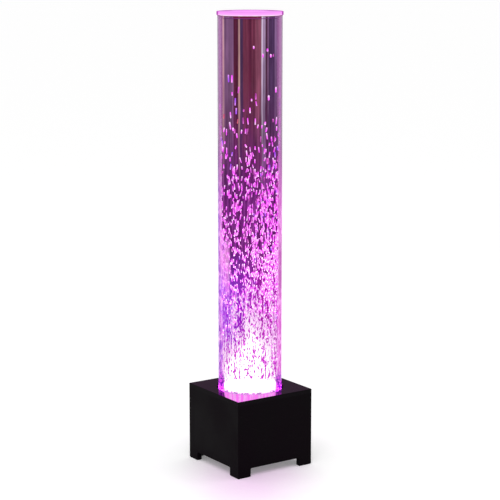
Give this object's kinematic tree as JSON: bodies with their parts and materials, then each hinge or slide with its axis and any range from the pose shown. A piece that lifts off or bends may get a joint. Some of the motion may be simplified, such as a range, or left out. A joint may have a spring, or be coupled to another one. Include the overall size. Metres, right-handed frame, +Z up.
{
  "type": "sensory hurricane tube",
  "caption": "Floor-standing clear tube in which a fan in a square black base whirls lit beads, with a glowing lid.",
  "frame": {"origin": "on the floor under the middle of the base", "axes": "+Z up along the tube, front towards -Y, controls at the back on +Y"},
  "size_m": [0.21, 0.21, 1.07],
  "materials": {
    "clear_tube": "clear acrylic, tinted by the light in it",
    "glowing_lid": "satin translucent acrylic, lit from below",
    "dark_gasket": "soft",
    "lit_beads": "foamed white balls lit pink",
    "lit_screen": "white, strongly lit",
    "white_plastic": "matt",
    "clear_ring": "clear, polished",
    "white_board": "white solder mask",
    "lamp_faces": "lit lamp windows",
    "black_plastic": "fine moulded",
    "steel_screws": "zinc plated",
    "gloss_black_top": "polished, mirrors the tube",
    "satin_black_board": "fibreboard painted satin black",
    "raw_wood": "planed softwood",
    "black_bottom": "fibreboard painted matt black",
    "foot_rubber": "soft, matt",
    "shaft_steel": "ground",
    "magnet": "bonded ferrite",
    "stator_steel": "stacked sheet",
    "copper_coils": "enamelled copper wire",
    "green_board": "green solder mask",
    "black_chips": "moulded",
    "capacitor_cans": "sleeved cans",
    "cream_plastic": "moulded",
    "black_screws": "black oxide",
    "contact_brass": "plated",
    "button_metal": "turned, nickel plated",
    "button_cap": "smooth",
    "cable_jacket": "round black leads"
  },
  "bodies": {
    "base": {"tube": "clear_tube", "bead_screen": "lit_screen", "screen_riser": "white_plastic", "light_ring": "clear_ring", "lamp_board": "white_board", "lamps": "lamp_faces", "tube_socket": "black_plastic", "socket_screws": "steel_screws", "top_panel": "gloss_black_top", "front_panel": "satin_black_board", "back_panel": "satin_black_board", "left_panel": "satin_black_board", "right_panel": "satin_black_board", "corner_blocks": "raw_wood", "bottom_plate": "black_bottom", "bottom_screws": "steel_screws", "foot_pad_front_left": "foot_rubber", "foot_pad_front_right": "foot_rubber", "foot_pad_back_left": "foot_rubber", "foot_pad_back_right": "foot_rubber", "air_duct": "black_plastic", "duct_screws": "steel_screws", "fan_frame": "black_plastic", "fan_stator": "stator_steel", "fan_coils": "copper_coils", "fan_bearings": "shaft_steel", "fan_screws": "steel_screws", "fan_nuts": "steel_screws", "control_board": "green_board", "board_posts": "white_plastic", "board_screws": "steel_screws", "control_chips": "black_chips", "capacitors": "capacitor_cans", "board_sockets": "cream_plastic", "control_plate": "black_plastic", "plate_screws": "black_screws", "power_inlet": "black_plastic", "inlet_pin": "contact_brass", "inlet_nut": "steel_screws", "rocker_housing": "black_plastic", "rocker_pin": "shaft_steel", "switch_tabs": "contact_brass", "button_body": "button_metal", "button_nut": "button_metal", "button_spring": "shaft_steel", "inlet_cable": "cable_jacket", "switch_cable": "cable_jacket", "button_cable": "cable_jacket", "fan_cable": "cable_jacket", "lamp_cable": "cable_jacket"},
    "lid_body": {"lid": "glowing_lid", "lid_gasket": "dark_gasket"},
    "rotor_body": {"fan_rotor": "black_plastic", "fan_shaft": "shaft_steel", "fan_magnet": "magnet"},
    "rocker_body": {"rocker": "black_plastic"},
    "button_cap_body": {"mode_button": "button_cap"},
    "bead_cloud": {"beads": "lit_beads"}
  },
  "joints": [
    {"name": "fan_spin", "type": "hinge", "parent": "base", "child": "rotor_body", "pos_m": [0, 0, 0.1035], "axis": [0, 0, 1], "continuous": true},
    {"name": "bead_swirl", "type": "hinge", "parent": "base", "child": "bead_cloud", "pos_m": [0, 0, 0.6], "axis": [0, 0, 1], "continuous": true},
    {"name": "power_rocker", "type": "hinge", "parent": "base", "child": "rocker_body", "pos_m": [0, 0.098, 0.07], "axis": [0, 0, 1], "range_deg": [0, 18]},
    {"name": "mode_press", "type": "slide", "parent": "base", "child": "button_cap_body", "axis": [0, -1, 0], "range_m": [0, 0.0016], "stiffness_N_per_m": 800, "springref_m": -0.001, "deforming": ["button_spring"]},
    {"name": "lid_lift", "type": "slide", "parent": "base", "child": "lid_body", "axis": [0, 0, 1], "range_m": [0, 0.1]}
  ]
}
